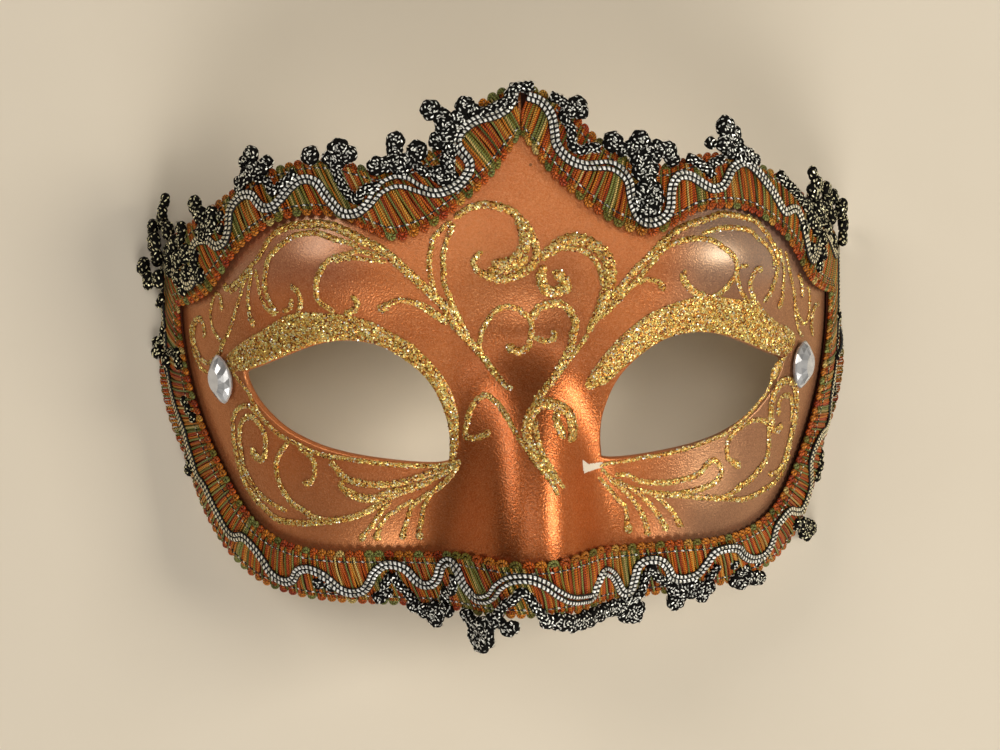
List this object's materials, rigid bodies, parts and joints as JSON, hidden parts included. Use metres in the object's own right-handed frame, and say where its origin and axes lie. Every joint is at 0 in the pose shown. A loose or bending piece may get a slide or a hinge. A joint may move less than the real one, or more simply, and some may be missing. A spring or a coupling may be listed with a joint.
{
  "type": "masquerade half mask",
  "caption": "Half mask lying face up: peaked forehead, ridged nose, almond eye holes, looped braid round the edge, a set stone at each outer eye corner.",
  "frame": {"origin": "middle of the footprint, on the table that the temples' edges rest on", "axes": "+X to the viewer's right across the face, +Y up the forehead, +Z out of the face, up as it lies"},
  "size_m": [0.1736, 0.1233, 0.0597],
  "materials": {
    "shell": "moulded base under copper pearl paint, satin with a fine grain, bare off-white inside",
    "braid": "woven gimp in orange, rust and olive thread with silver and black cord",
    "stone": "clear faceted rhinestone with foil behind"
  },
  "bodies": {
    "root": {"shell": "shell", "braid_upper_right": "braid", "braid_upper_left": "braid", "braid_lower": "braid", "stone_right": "stone", "stone_left": "stone"}
  },
  "joints": []
}
